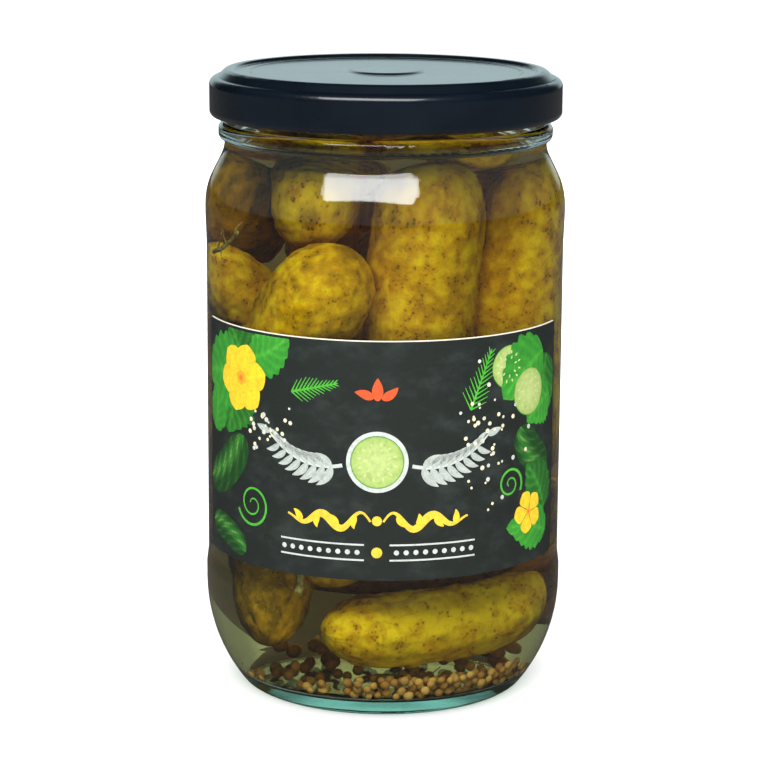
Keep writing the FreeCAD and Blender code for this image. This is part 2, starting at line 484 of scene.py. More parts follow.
# Each pickle as it is dropped in, in millimetres: the middle of its lower end, the middle
# of its upper end, its radius, its ripeness from 0, olive, to 1, yellow, and how firmly it
# keeps its place while the others are pushed off it.
PICKLES = {
    "front_tall": ((9.8, -13.5, 62), (7.8, -12.8, 120.4), 11.8, 0.82, 0.985),
    "front_leaning": ((-27.5, -12.0, 77), (-12.0, -27.8, 100.5), 11.2, 0.66, 0.99),
    "behind_top": ((-8.0, 14.0, 121.5), (-13.2, -12.0, 119.5), 9.3, 0.92, 0.95),
    "left_top": ((-28.0, 10.0, 104), (-29.5, 6.0, 121.5), 9.6, 0.30, 0.9),
    "left_across": ((-30.5, -8.0, 84), (-16.0, 8.0, 80.0), 8.8, 0.92, 0.9),
    "right_tall": ((28.0, -3.0, 66), (28.4, -1.0, 118.5), 12.2, 0.85, 0.93),
    "right_top": ((12.0, 20.0, 131.5), (18.5, -5.0, 133.0), 7.2, 0.95, 0.95),
    "left_corner": ((-20.0, 22.0, 131), (-31.0, 10.0, 132.0), 6.2, 0.90, 0.5),
    "right_back": ((26.0, 18.0, 58), (18.0, 22.0, 108), 12.2, 0.65, 0.5),
    "back_middle": ((0.0, 27.0, 60), (-3.0, 26.0, 116), 12.4, 0.70, 0.5),
    "back_left": ((-24.0, 20.0, 48), (-25.0, 18.0, 86), 12.0, 0.60, 0.5),
    "heart": ((4.0, 2.0, 52), (4.0, 2.0, 98), 10.2, 0.60, 0.3),
    "low_left": ((-24.8, -17.5, 28.0), (-25.5, -3.0, 62), 10.2, 0.15, 0.98),
    "low_front": ((-5.5, -30.8, 20.8), (29.5, -14.0, 23.0), 8.5, 0.99, 0.99),
    "behind_label": ((-3.0, -26.0, 63), (-8.0, -20.0, 82), 10.2, 0.60, 0.4),
    "low_right": ((27.0, 8.0, 46), (2.0, 14.0, 42), 10.4, 0.60, 0.6),
    "low_back": ((-10.0, 30.0, 34), (24.0, 24.0, 24), 9.4, 0.60, 0.8),
}
# Two behind bend towards each other, so they are slimmer than the room they take.
SLIMMER = {"right_back": 0.88, "back_middle": 0.88}
SETTLE_ROUNDS = 300
SETTLE_SHARE = 0.7
# A pickle takes a little more room than its radius, for its warts.
ROOM_SHARE = 1.03
# How far its ends stand out past the two middles, as a share of its radius.
CAP_SHARE = 0.95
WART_ROWS = 10


def nearest_on_lines(a0, a1, b0, b1):
    """Shares along two straight lines at which they come nearest."""
    u, v, w = a1 - a0, b1 - b0, a0 - b0
    uu, uv, vv, uw, vw = u @ u, u @ v, v @ v, u @ w, v @ w
    spread = uu * vv - uv * uv
    s = np.clip((uv * vw - vv * uw) / spread, 0, 1) if spread > 1e-9 else 0.5
    t = np.clip((uv * s + vw) / vv, 0, 1)
    s = np.clip((uv * t - uw) / uu, 0, 1)
    return s, t


def settle(lines, radii, firmness):
    """Push pickles out of each other and the wall, each kept at its own length."""
    lengths = [np.linalg.norm(b - a) for a, b in lines]
    loose = [1.001 - f for f in firmness]
    for _ in range(SETTLE_ROUNDS):
        for i in range(len(lines)):
            for j in range(i + 1, len(lines)):
                share = loose[i] / (loose[i] + loose[j])
                part_pair(lines[i], lines[j], radii[i] + radii[j], share)
        for line, radius, length in zip(lines, radii, lengths):
            keep_inside(line, radius)
            middle = (line[0] + line[1]) / 2
            along = (line[1] - line[0]) / np.linalg.norm(line[1] - line[0])
            line[0], line[1] = middle - along * length / 2, middle + along * length / 2


def part_pair(first, second, reach, share):
    """Move two pickles apart where they are nearest; the first takes the given share."""
    s, t = nearest_on_lines(*first, *second)
    gap = (second[0] * (1 - t) + second[1] * t) - (first[0] * (1 - s) + first[1] * s)
    size = np.linalg.norm(gap)
    if size >= reach or size < 1e-6:
        return
    push = gap / size * (reach - size) * SETTLE_SHARE
    for line, place, move in ((first, s, -push * share), (second, t, push * (1 - share))):
        line[0] += move * (1 - place)
        line[1] += move * place


def keep_inside(line, radius):
    """Hold both ends of a pickle off the wall and the floor."""
    for end in line:
        around = math.hypot(end[0], end[1])
        room = wall_radius_mm(end[2]) - radius
        if around > room:
            end[0] *= room / around
            end[1] *= room / around
        end[2] = min(max(end[2], WALL_FLOOR_MM + radius), WALL_TOP_MM - radius)


WALL_STEPS = [wall_radius(z * MM) / MM for z in range(150)]
WALL_FLOOR_MM = BRINE_LOW.z / MM + 2.5
WALL_TOP_MM = BRINE_HIGH.z / MM - 1.5


def wall_radius_mm(height):
    """Inside radius at a height, in millimetres."""
    return WALL_STEPS[int(min(max(height, 0), len(WALL_STEPS) - 1))]


def pickle_shape(length, radius, seed, warts, around=112, along=104):
    """Points, faces and skin channels of one pickle that lies along Z, in millimetres."""
    dice = random.Random(seed)
    steps = np.linspace(0, math.pi, along + 1)[1:-1]
    reach = -np.cos(steps)
    turn = np.linspace(0, 2 * math.pi, around, endpoint=False)
    s, a = np.meshgrid(reach, turn, indexing="ij")
    cap = min(radius * dice.uniform(1.15, 1.45) / (length / 2), 0.9)
    body = (1 - np.clip((np.abs(s) - 1 + cap) / cap, 0, 1) ** 2.2) ** 0.5 * (1 - 0.06 * s ** 2)
    taper = 1 + dice.uniform(0.03, 0.11) * dice.choice((-1, 1)) * s
    lobes = 1 + 0.022 * np.cos(3 * a + dice.uniform(0, 6))
    swell = 1 + 0.025 * np.sin(s * dice.uniform(2, 4) + dice.uniform(0, 6))
    r = radius * body * taper * lobes * swell
    bend = dice.uniform(0.02, 0.07) * length
    lean = dice.uniform(0, 2 * math.pi)
    shift = bend * (0.5 - s ** 2)
    z = s * length / 2
    relief = np.zeros_like(r)
    tips = np.zeros_like(r)
    for place, angle, size, height in wart_places(dice, warts):
        across = radius * np.abs((a - angle + math.pi) % (2 * math.pi) - math.pi)
        up = (s - place) * length / 2
        near = np.exp(-(across ** 2 + up ** 2) / (size * size))
        relief = np.maximum(relief, near * height)
        tips = np.maximum(tips, np.exp(-(across ** 2 + up ** 2) / (0.30 * size * size)))
    drift = Vector((dice.uniform(0, 90), dice.uniform(0, 90), dice.uniform(0, 90)))
    rough = np.array([noise.fractal(drift + Vector((math.cos(y), math.sin(y), x * 2.4)) * 2.2,
                                    0.7, 2.1, 4) for x, y in zip(s.ravel(), a.ravel())])
    r = r + (relief - 0.15) * np.minimum(body * 1.4, 1.0) + rough.reshape(r.shape) * 0.34
    ends = np.clip((np.abs(s) - 0.965) / 0.035, 0, 1)
    x = r * np.cos(a) + shift * math.cos(lean)
    y = r * np.sin(a) + shift * math.sin(lean)
    points = np.stack([x, y, z], -1).reshape(-1, 3)
    foot = (-bend * 0.5 * math.cos(lean), -bend * 0.5 * math.sin(lean), -length / 2 + 0.35)
    head = (foot[0], foot[1], length / 2 - 0.35)
    skin = np.stack([tips.ravel(), ends.ravel()], -1)
    skin = np.vstack([skin, (0, 1), (0, 1)])
    return np.vstack([points, foot, head]), grid_faces(along - 1, around, capped=True), skin


def wart_places(dice, count):
    """Uneven rows of bumps: place along the pickle, angle, size and height."""
    places = []
    for k in range(count):
        angle = (k % WART_ROWS + dice.uniform(-0.35, 0.35)) * 2 * math.pi / WART_ROWS
        place = dice.uniform(-0.93, 0.93)
        big = dice.random() < 0.4
        size = dice.uniform(1.2, 2.0) if big else dice.uniform(0.7, 1.1)
        height = dice.uniform(0.30, 0.60) if big else dice.uniform(0.15, 0.35)
        places.append((place, angle, size, height))
    return places


def pickle_finish(sizes):
    """Skin of a pickle: yellow to olive, mottled, with dark specks and warts."""
    finish = Finish("pickle_skin")
    place = finish.place()
    wart, end, ripe = finish.parts(finish.stored("skin"))
    broad = finish.grain(place, 0.075, 3.0)
    blotch = finish.grain(place, 0.30, 4.0, 0.6)
    fine = finish.grain(place, 1.3, 3.0, 0.6)
    share = ripe * 0.8 + (broad - 0.5) * 1.5 + (blotch - 0.5) * 1.6
    skin = finish.add("ShaderNodeValToRGB", {"stops": (
        (0.0, sizes.green), (0.55, sizes.amber), (1.0, sizes.ripe))}, {"Fac": share})
    pale = finish.mix(fine.ramp(0.56, 0.72) * 0.30, skin, sizes.ripe)
    spots = finish.dots(place, 1.0)
    patch = (1 - blotch).ramp(0.48, 0.62)
    speck = (1 - spots.ramp(0.16, 0.46)) * patch
    dots = finish.dots(place, 1.5)
    dust = (1 - dots.ramp(0.12, 0.36)) * fine.ramp(0.42, 0.6) * 0.7
    dark = (speck * 0.75 + dust * 0.6 + wart * 0.30 + end * 0.6).math("MINIMUM", 1.0)
    colour = finish.mix(dark, pale, sizes.speck)
    height = fine * 0.5 + (1 - speck) * 0.4 + blotch * 0.6
    return finish.close(finish.surface({
        "Base Color": colour,
        "Roughness": 0.32 + fine * 0.25,
        "IOR": SKIN_IOR,
        "Subsurface Weight": 0.12,
        "Subsurface Radius": (1.0, 0.8, 0.2),
        "Subsurface Scale": 1.5 * MM,
        "Normal": finish.bump(height, 0.35 * MM, 0.55)}))


class JAR_OT_pickles(bpy.types.Operator):
    """Pack the pickles into the jar"""

    bl_idname = "jar.pickles"
    bl_label = "Pickles"

    def execute(self, context):
        sizes = context.scene.jar_pickles
        lines = [[np.array(p[0], float), np.array(p[1], float)] for p in PICKLES.values()]
        radii = [p[2] * ROOM_SHARE for p in PICKLES.values()]
        settle(lines, radii, [p[4] for p in PICKLES.values()])
        material = pickle_finish(sizes)
        for index, (name, line) in enumerate(zip(PICKLES, lines)):
            radius, ripe = PICKLES[name][2:4]
            radius *= SLIMMER.get(name, 1.0)
            length = np.linalg.norm(line[1] - line[0]) + 2 * radius * CAP_SHARE
            points, faces, skin = pickle_shape(length, radius, 41 + index, sizes.warts)
            along = Vector(line[1] - line[0]).normalized()
            turn = along.to_track_quat("Z", "Y").to_matrix()
            middle = (line[0] + line[1]) / 2
            placed = (points @ np.array(turn).T + middle) * MM
            piece = make_piece("pickle_" + name, placed, faces, material)
            channels = np.hstack([skin, np.full((len(skin), 1), ripe)])
            store_colour(piece, "skin", channels)
        return {"FINISHED"}


# ---- Mustard seeds and dill ----

# The heap of seeds: its share of them, its middle and spread in degrees round the axis, and
# how far out it lies, in millimetres.
HEAP_SHARE, HEAP_MIDDLE, HEAP_SPREAD, HEAP_OUT = 0.75, -62, 24, 33
SEED_OUTERMOST = 38
SEED_PILE = 5.0
SEED_TRIES = 20000


def ball(middle, radius, dice, rows=7, around=12):
    """Points and faces of a slightly uneven ball."""
    stretch = [radius * dice.uniform(0.9, 1.08) for _ in range(3)]
    start = dice.uniform(0, math.pi)
    points = []
    for row in range(1, rows):
        tilt = math.pi * row / rows
        for k in range(around):
            angle = start + 2 * math.pi * k / around
            points.append((middle[0] + stretch[0] * math.sin(tilt) * math.cos(angle),
                           middle[1] + stretch[1] * math.sin(tilt) * math.sin(angle),
                           middle[2] - stretch[2] * math.cos(tilt)))
    points.append((middle[0], middle[1], middle[2] - stretch[2]))
    points.append((middle[0], middle[1], middle[2] + stretch[2]))
    return points, grid_faces(rows - 1, around, capped=True)


def seed_places(dice, count):
    """Where the seeds have come to rest: all over the floor, and heaped to the right."""
    floor = [floor_height(r * MM) / MM for r in range(42)]
    placed = []
    tries = 0
    while len(placed) < count and tries < SEED_TRIES:
        tries += 1
        heap = dice.random() < HEAP_SHARE
        if heap:
            angle = math.radians(dice.gauss(HEAP_MIDDLE, HEAP_SPREAD))
            around = min(dice.gauss(HEAP_OUT, 3.5), SEED_OUTERMOST + 0.5)
        else:
            angle = dice.uniform(0, 2 * math.pi)
            around = SEED_OUTERMOST * math.sqrt(dice.random())
        size = dice.uniform(0.92, 1.2)
        x, y = around * math.cos(angle), around * math.sin(angle)
        z = floor[int(around)] + size + 0.25
        for px, py, pz, other in placed:
            flat = (px - x) ** 2 + (py - y) ** 2
            reach = size + other
            if flat < reach * reach:
                z = max(z, pz + math.sqrt(reach * reach - flat))
        if z < floor[int(around)] + SEED_PILE and around + size < wall_radius_mm(z) - 0.3:
            placed.append((x, y, z, size))
    return placed


def seed_finish(sizes):
    """Tan to brown skin of a mustard seed, another tone on each."""
    finish = Finish("mustard_seed")
    tone = finish.parts(finish.stored("skin"))[0]
    place = finish.place()
    fine = finish.grain(place, 2.4, 3.0)
    skin = finish.mix(tone * 0.8 + (fine - 0.5) * 0.7, sizes.dark, sizes.pale)
    return finish.close(finish.surface({
        "Base Color": skin,
        "Roughness": 0.4 + fine * 0.2,
        "IOR": SEED_IOR,
        "Normal": finish.bump(fine, 0.1 * MM, 0.4)}))


class JAR_OT_seeds(bpy.types.Operator):
    """Strew mustard seeds on the floor of the jar"""

    bl_idname = "jar.seeds"
    bl_label = "Mustard seeds"

    def execute(self, context):
        sizes = context.scene.jar_seeds
        dice = random.Random(7)
        places = seed_places(dice, sizes.count)
        if not places:
            raise RuntimeError("no room for the seeds")
        parts = [ball(place[:3], place[3], dice) for place in places]
        points, faces = joined(parts)
        piece = make_piece("mustard_seeds", np.array(points) * MM, faces, seed_finish(sizes))
        tones = []
        for part in parts:
            tones += [(dice.random() ** 0.7, 0.0, 0.0)] * len(part[0])
        store_colour(piece, "skin", np.array(tones))
        return {"FINISHED"}


DILL_CLEAR = 0.6
# Dill stems in millimetres: where each starts and ends, its thickness, and its side shoots.
DILL = (
    ((-37.5, -8.0, 108), (-32.5, -20.5, 115), 1.3, 5),
    ((-19.5, -34.5, 30.4), (-17.0, -36.0, 41.0), 2.6, 1),
    ((12.0, 36.0, 60), (24.0, 30.0, 92), 1.4, 7),
    ((-36.0, 12.0, 40), (-39.0, 6.0, 74), 1.3, 6),
    ((37.0, 13.0, 30), (39.0, 4.0, 66), 1.4, 6),
    ((-4.0, -18.0, 8), (14.0, -22.0, 9), 1.5, 4),
)


def tube(line, radii, around=8):
    """Points and faces of a round stem along a line."""
    points = []
    for index, (here, radius) in enumerate(zip(line, radii)):
        before = line[max(index - 1, 0)]
        after = line[min(index + 1, len(line) - 1)]
        turn = (after - before).normalized().to_track_quat("Z", "Y").to_matrix()
        for k in range(around):
            angle = 2 * math.pi * k / around
            points.append(here + turn @ Vector((math.cos(angle), math.sin(angle), 0)) * radius)
    faces = grid_faces(len(line), around)
    faces.append(tuple(reversed(range(around))))
    faces.append(tuple(range(len(points) - around, len(points))))
    return points, faces


def wavy_line(start, end, dice, steps, stray):
    """A line that strays a little on its way."""
    phases = [dice.uniform(0, 6) for _ in range(3)]
    line = []
    for k in range(steps + 1):
        share = k / steps
        bow = math.sin(math.pi * share) * stray
        line.append(start.lerp(end, share)
                    + Vector([math.sin(3.1 * share + phase) * bow for phase in phases]))
    return line


class JAR_OT_dill(bpy.types.Operator):
    """Put stems of dill between the pickles"""

    bl_idname = "jar.dill"
    bl_label = "Dill"

    def execute(self, context):
        dice = random.Random(19)
        steps, twigs = 14, 6
        parts = []
        for start, end, thickness, shoots in DILL:
            start, end = Vector(start), Vector(end)
            line = wavy_line(start, end, dice, steps, 0.08 * (end - start).length)
            radii = [thickness / 2 * (1 - 0.3 * k / steps) for k in range(steps + 1)]
            parts.append(tube(line, radii))
            for shoot in range(shoots):
                root = line[3 + (shoot * 11) // max(shoots, 1) % 11]
                away = Vector([dice.uniform(-1, 1) for _ in range(3)]).normalized()
                tip = root + away * dice.uniform(3, 6) + (end - start).normalized() * 3
                side = wavy_line(root, tip, dice, twigs, 0.6)
                parts.append(tube(side, [0.32 - 0.03 * k for k in range(twigs + 1)], 6))
        points, faces = joined(parts)
        kept = []
        for point in points:
            room = wall_radius_mm(point[2]) - DILL_CLEAR
            around = math.hypot(point[0], point[1])
            squeeze = min(1.0, room / around) if around > 0 else 1.0
            kept.append((point[0] * squeeze, point[1] * squeeze, point[2]))
        finish = Finish("dill_stem")
        grain = finish.grain(finish.place(), 0.9, 3.0)
        colour = finish.mix(grain.ramp(0.3, 0.7), (0.20, 0.16, 0.03), (0.42, 0.34, 0.10))
        material = finish.close(finish.surface({
            "Base Color": colour, "Roughness": 0.5 + grain * 0.1, "IOR": SEED_IOR,
            "Normal": finish.bump(grain, 0.2 * MM, 0.5)}))
        make_piece("dill", np.array(kept) * MM, faces, material)
        return {"FINISHED"}


# ---- Lid ----

def lid_finish(sizes):
    """Dark lacquer on steel, glossy, with a faint orange peel."""
    finish = Finish("lid_lacquer")
    place = finish.place()
    peel = finish.grain(place, 0.9, 2.0)
    cloud = finish.grain(place, 0.06, 2.0)
    colour = finish.mix(cloud.ramp(0.3, 0.7), sizes.lacquer, tuple(c * 1.5 for c in sizes.lacquer))
    return finish.close(finish.surface({
        "Base Color": colour,
        "Roughness": 0.24 + cloud * 0.08,
        "IOR": 1.5,
        "Coat Weight": 0.6,
        "Coat Roughness": 0.08,
        "Normal": finish.bump(peel, 0.02 * MM, 0.4)}))


class JAR_OT_lid(bpy.types.Operator):
    """Give the lid its lacquer"""

    bl_idname = "jar.lid"
    bl_label = "Lid"

    def execute(self, context):
        finish_node("lid", lid_finish(context.scene.jar_lid))
        return {"FINISHED"}


# ---- Label ----

def label_finish(sizes):
    """Dark chalky print on coated paper, bare at its cut edges."""
    finish = Finish("label_print")
    place = finish.place()
    x, y, z = finish.parts(place)
    radius = (x * x + y * y).math("SQRT")
    top = LABEL_HIGH.z / MM
    face = radius.ramp(LABEL_RADIUS / MM - 0.06, LABEL_RADIUS / MM - 0.03)
    inked = face * (1 - z.ramp(top - 0.30, top - 0.24))
    chalk = finish.grain(finish.scaled(place, (0.10, 0.10, 0.16)), 1.0, 6.0, 0.65)
    dust = finish.grain(place, 1.8, 3.0, 0.7)
    smear = chalk.ramp(0.45, 0.75) * 0.7 + dust.ramp(0.55, 0.75) * 0.25
    ground = finish.mix(smear, sizes.ground, tuple(c * 2.4 for c in sizes.ground))
    return finish.close(finish.surface({
        "Base Color": finish.mix(inked, sizes.paper, ground),
        "Roughness": 0.42 + dust * 0.12,
        "Normal": finish.bump(dust, 0.02 * MM, 0.5)}))


class JAR_OT_label(bpy.types.Operator):
    """Give the label its printed ground"""

    bl_idname = "jar.label"
    bl_label = "Label"

    def execute(self, context):
        finish_node("label", label_finish(context.scene.jar_label))
        return {"FINISHED"}


# ---- Print on the label ----
#
# The print is laid out flat, in millimetres: u runs round the label from its middle, to the
# right, and v up from its lower edge. Each motif is a thin sheet that is then wrapped round.

SIDE_MARGIN, TOP_MARGIN, FOOT_MARGIN = 0.4, 0.9, 0.3
LEAF_DARK = (0.004, 0.060, 0.008)
LEAF_MID = (0.010, 0.20, 0.015)
LEAF_BRIGHT = (0.06, 0.42, 0.025)
BLOSSOM = (0.95, 0.62, 0.004)
BLOSSOM_DEEP = (0.72, 0.36, 0.003)
CHALK = (0.50, 0.54, 0.52)
CREAM = (0.80, 0.70, 0.44)
GOLD = (0.78, 0.50, 0.03)
EMBER = (0.72, 0.075, 0.012)
FLESH = (0.30, 0.44, 0.10)


def as_ink(ink):
    """An ink as a function of the place on a motif, also where it is one plain colour."""
    return ink if callable(ink) else lambda *place: ink


def tapered(wide, loss=0.0):
    """Half width of a band that loses a share of it from one end to the other."""
    return lambda share: wide * (1 - loss * share)


def bowed(u, v, degrees, length, bend, steps, level=0.0):
    """A line whose heading turns by the bend; at the level share it has the given heading."""
    line = []
    for k in range(steps + 1):
        share = k / steps
        turn = math.radians(degrees) + bend * (share - level)
        line.append((u + share * length * math.cos(turn), v + share * length * math.sin(turn)))
    return line


class Sheet:
    """The motifs of the print while they are laid: points, faces and inks."""

    def __init__(self):
        self.points = []
        self.faces = []
        self.inks = []

    def band(self, line, half_width, ink, lift=0.02, across=2):
        """A band along a line; its half width and its ink may change on the way."""
        ink = as_ink(ink)
        start = len(self.points)
        for index, here in enumerate(line):
            before, after = line[max(index - 1, 0)], line[min(index + 1, len(line) - 1)]
            run = math.dist(before, after) or 1.0
            normal = (-(after[1] - before[1]) / run, (after[0] - before[0]) / run)
            share = index / (len(line) - 1)
            for k in range(across + 1):
                side = 2 * k / across - 1
                out = side * half_width(share)
                self.points.append((here[0] + normal[0] * out, here[1] + normal[1] * out, lift))
                self.inks.append(ink(share, side))
        wide = across + 1
        for row in range(len(line) - 1):
            for k in range(across):
                low = start + row * wide + k
                self.faces.append((low, low + wide, low + wide + 1, low + 1))

    def disc(self, u, v, radius, ink, lift=0.02, rings=2, around=14):
        """A round; its ink may change with the share of the radius and the angle."""
        ink = as_ink(ink)
        start = len(self.points)
        self.points.append((u, v, lift))
        self.inks.append(ink(0.0, 0.0))
        for ring in range(1, rings + 1):
            for k in range(around):
                angle = 2 * math.pi * k / around
                reach = radius * ring / rings
                self.points.append((u + reach * math.cos(angle), v + reach * math.sin(angle),
                                    lift))
                self.inks.append(ink(ring / rings, angle))
        for k in range(around):
            after = (k + 1) % around
            self.faces.append((start, start + 1 + k, start + 1 + after))
            for ring in range(rings - 1):
                low, high = start + 1 + ring * around, start + 1 + (ring + 1) * around
                self.faces.append((low + k, high + k, high + after, low + after))

    def leaf(self, u, v, degrees, length, width, dark, bright, bend=0.0, lobes=0, lift=0.02,
             widest=0.75):
        """A leaf or petal from its stalk to its tip, with a rib and side veins."""
        def half_width(share):
            plump = max(math.sin(math.pi * min(share, 1) ** widest), 0.0) ** 0.8
            teeth = 1 + 0.22 * abs(math.sin(lobes * math.pi * share)) if lobes else 1.0
            return 0.5 * width * plump * teeth / (1.11 if lobes else 1.0) + 0.02

        def ink(share, side):
            vein = abs(math.sin(math.pi * (6 * share - 1.6 * abs(side))))
            light = 0.15 + 0.5 * (1 - vein) ** 2 + 0.45 * max(0, 1 - abs(side) * 6)
            light += 0.35 * (side + 1) / 2 * share
            return blend(dark, bright, min(light, 1.0))

        self.band(bowed(u, v, degrees, length, bend, 36, 0.5), half_width, ink, lift, 14)

    def gherkin(self, u, v, degrees, length, width, bend, lift=0.02):
        """A gherkin, lit along its back."""
        def half_width(share):
            return 0.5 * width * (1 - abs(2 * share - 1) ** 3.2) ** 0.5 + 0.02

        def ink(share, side):
            sheen = max(0.0, 1 - abs(side - 0.25) * 1.7)
            knob = max(0.0, math.sin(share * 43 + side * 9) * math.sin(side * 17 + share * 11))
            return blend(LEAF_DARK, blend(LEAF_MID, FLESH, knob * 0.6), sheen * 0.85 + knob * 0.2)

        self.band(bowed(u, v, degrees, length, bend, 40, 0.5), half_width, ink, lift, 16)

    def slice(self, u, v, radius, lift=0.03):
        """A round slice of cucumber, with its rind and seeds."""
        def ink(reach, angle):
            if reach > 0.95:
                return LEAF_MID
            return blend((0.42, 0.52, 0.18), FLESH, reach ** 2)

        self.disc(u, v, radius, ink, lift, 16, 40)
        for ring, count in ((0.36, 7), (0.60, 12)):
            for k in range(count):
                angle = 2 * math.pi * (k + ring) / count
                seed_u = u + ring * radius * math.cos(angle)
                seed_v = v + ring * radius * math.sin(angle)
                self.leaf(seed_u, seed_v, math.degrees(angle), radius * 0.17, radius * 0.08,
                          (0.30, 0.42, 0.10), (0.75, 0.78, 0.45), lift=lift + 0.02)

    def rule(self, u0, u1, v, thickness, ink):
        """A level line."""
        steps = max(2, int(abs(u1 - u0)))
        self.band(bowed(u0, v, 0, u1 - u0, 0, steps), tapered(thickness / 2), ink)


def blend(first, second, share):
    """A colour between two."""
    share = min(max(share, 0.0), 1.0)
    return tuple(a + (b - a) * share for a, b in zip(first, second))


def draw_blossom(sheet, u, v, size, petals=6, start=10):
    """A yellow blossom seen from in front."""
    for k in range(petals):
        degrees = start + 360 / petals * k
        sheet.leaf(u, v, degrees, size, size * 0.80, blend(BLOSSOM_DEEP, BLOSSOM, 0.45), BLOSSOM,
                   0.12, 0, 0.06 + 0.012 * (k % 2), 1.7)
    sheet.disc(u, v, size * 0.20, lambda reach, angle: blend(EMBER, BLOSSOM_DEEP, reach * 1.5),
               0.095, 3)


def draw_sprig(sheet, u, v, degrees, length, bow, leaves, leaf_size, dark, bright, stem):
    """A stalk with leaves in pairs and one at its tip."""
    line = bowed(u, v, degrees, length, bow, 30)
    sheet.band(line, tapered(stem, 0.5), bright, 0.03)
    for k in range(leaves):
        place = line[4 + int(25 * k / leaves)]
        grown = leaf_size * (1 - 0.35 * k / leaves)
        heading = degrees + math.degrees(bow) * k / leaves
        for side in (-1, 1):
            sheet.leaf(*place, heading + side * 52, grown, grown * 0.34, dark, bright,
                       -side * 0.5, 0, 0.04)
    sheet.leaf(*line[-1], degrees + math.degrees(bow), leaf_size * 0.7, leaf_size * 0.3,
               dark, bright, 0, 0, 0.04)


def draw_tendril(sheet, u, v, size, turns, start, ink):
    """A curling shoot."""
    steps = int(28 * turns)
    line = []
    for k in range(steps + 1):
        share = k / steps
        angle = math.radians(start) + 2 * math.pi * turns * share
        reach = size * (1 - 0.86 * share)
        line.append((u + reach * math.cos(angle), v + reach * math.sin(angle)))
    sheet.band(line, tapered(0.34, 0.55), ink, 0.03)


def draw_dill(sheet, u, v, degrees, length, ink, dice):
    """A feathery frond."""
    fronds = 12
    for k, base in enumerate(bowed(u, v, degrees, length, 0, fronds)[:fronds]):
        share = k / fronds
        for side in (-1, 1):
            heading = degrees + side * math.degrees(0.85 - 0.3 * share)
            reach = length * 0.34 * (1 - 0.7 * share) * dice.uniform(0.8, 1.1)
            sheet.band(bowed(*base, heading, reach, 0, 5), tapered(0.20, 0.6), ink, 0.03)
    sheet.band(bowed(u, v, degrees, length, 0, 16), tapered(0.30, 0.6), ink, 0.03)


def draw_middle(sheet):
    """The ornament in the middle: a pale wreath, a gold flourish and a white rule."""
    for side in (-1, 1):
        degrees = 0 if side > 0 else 180
        draw_sprig(sheet, side * 8.2, 27.5, degrees + side * -14, 20, side * 0.55, 8, 6.0,
                   blend(CHALK, LEAF_DARK, 0.35), CHALK, 0.45)
        wave = [(side * (1.5 + 0.5 * k), 14.2 + 2.4 * math.sin(k * 0.33) * (1 - k / 60))
                for k in range(42)]
        sheet.band(wave, lambda t: 0.25 + 0.75 * math.sin(math.pi * t) ** 2, GOLD, 0.03)
        for k in range(4):
            sheet.leaf(*wave[7 + 9 * k], (70 if k % 2 else -70) * side + (90 - 90 * side),
                       3.4, 1.6, GOLD, BLOSSOM, 0.5, 0, 0.04)
        sheet.rule(side * 3.0, side * 24.0, 8.6, 0.42, CHALK)
        sheet.rule(side * 3.0, side * 24.0, 4.9, 0.42, CHALK)
        for k in range(9):
            sheet.disc(side * (4.6 + 2.3 * k), 6.75, 0.62, CHALK, 0.03)
        sheet.leaf(side * 1.0, 43.5, 90 - side * 62, 4.6, 2.1, EMBER, EMBER, 0.3)
    sheet.leaf(0, 43.0, 90, 5.4, 2.6, EMBER, EMBER)
    sheet.disc(0, 28.5, 7.3, CHALK, 0.02, 6, 48)
    sheet.slice(0, 28.5, 6.3, 0.04)
    sheet.disc(0, 6.75, 1.3, GOLD, 0.03)
    sheet.disc(0, 14.4, 1.2, GOLD, 0.03)


def draw_garden(sheet, dice):
    """Leaves, gherkins, slices, a blossom and strewn seeds round the middle."""
    sheet.gherkin(-53.5, 17.5, 24, 22, 9.5, 0.5, 0.02)
    sheet.gherkin(-52.0, 7.0, -4, 17, 7.0, -0.4, 0.03)
    sheet.gherkin(50.5, 22.5, 152, 17, 9.0, -0.5, 0.02)
    for u, v, degrees, length, width, tone in (
            (-36, 47, 112, 12, 14, 0), (-37, 45, 178, 18, 18, 1), (-36, 44, 236, 15, 15, 0),
            (-50, 30, 78, 13, 10, 1), (-52, 32, 30, 9, 8, 0), (47, 51, 205, 18, 16, 1),
            (49, 50, 258, 17, 15, 0), (51, 40, 200, 12, 11, 1), (49, 12, 118, 15, 12, 0),
            (50, 6, 160, 17, 11, 1), (-34, 50, 22, 14, 11, 1)):
        bright = LEAF_BRIGHT if tone else blend(LEAF_MID, LEAF_BRIGHT, 0.5)
        sheet.leaf(u, v, degrees, length, width, LEAF_DARK if tone == 0 else LEAF_MID, bright,
                   0.25, 7, 0.035 + 0.01 * tone)
    draw_blossom(sheet, -37.0, 45.0, 8.6)
    draw_blossom(sheet, 41.5, 12.5, 5.4, 5, 40)
    sheet.slice(33.5, 49.0, 5.2, 0.03)
    sheet.slice(41.0, 42.0, 5.8, 0.05)
    draw_dill(sheet, 22.5, 40.0, 68, 15, LEAF_BRIGHT, dice)
    draw_dill(sheet, -21.0, 44.0, 14, 12, LEAF_BRIGHT, dice)
    draw_tendril(sheet, -33.0, 15.0, 5.6, 1.9, 200, LEAF_BRIGHT)
    draw_tendril(sheet, 34.5, 20.5, 4.2, 1.7, 330, LEAF_BRIGHT)
    for _ in range(80):
        right = dice.random() < 0.5
        u = dice.gauss(29, 5) if right else dice.gauss(-28, 4.0)
        v = dice.gauss(33, 7) if right else dice.gauss(35, 3.5)
        tone = blend(CREAM, CHALK, dice.random())
        if 1.5 < v < 54 and abs(u) < 50:
            sheet.disc(u, v, dice.uniform(0.28, 0.62), tone, 0.05, 1, 9)


